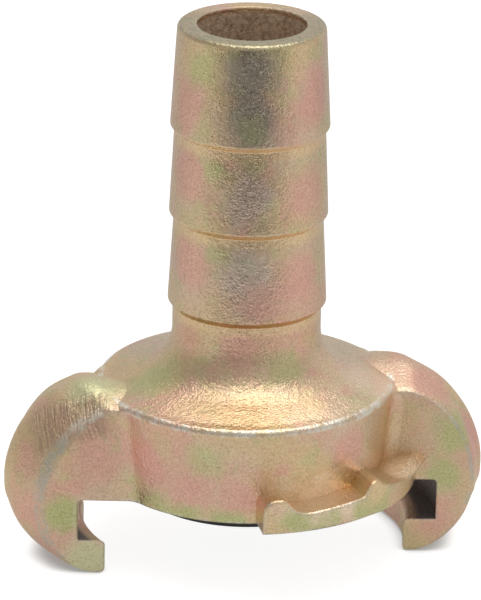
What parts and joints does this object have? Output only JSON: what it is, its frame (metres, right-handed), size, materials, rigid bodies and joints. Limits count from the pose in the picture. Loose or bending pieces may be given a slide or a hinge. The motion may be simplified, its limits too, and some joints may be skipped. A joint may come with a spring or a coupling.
{
  "type": "claw hose coupling",
  "caption": "Claw coupling with a barbed hose tail: hooked claws and stepped ramp flanges lock face to face with an identical coupling by a part turn, sealed by a rubber ring.",
  "frame": {"origin": "on the hose axis, at the level of the claw tips the coupling stands on", "axes": "+Z along the hose axis, towards the open end of the hose tail; the claws lie along X and the free sides of the claws face +Y (on +X) and -Y (on -X)"},
  "size_m": [0.062, 0.0444, 0.071],
  "materials": {
    "plated_iron": "zinc plated and yellow passivated, satin, with pink and green interference tints",
    "seal_rubber": "matt black"
  },
  "bodies": {
    "root": {"coupling_body": "plated_iron", "seal_ring": "seal_rubber"}
  },
  "joints": []
}
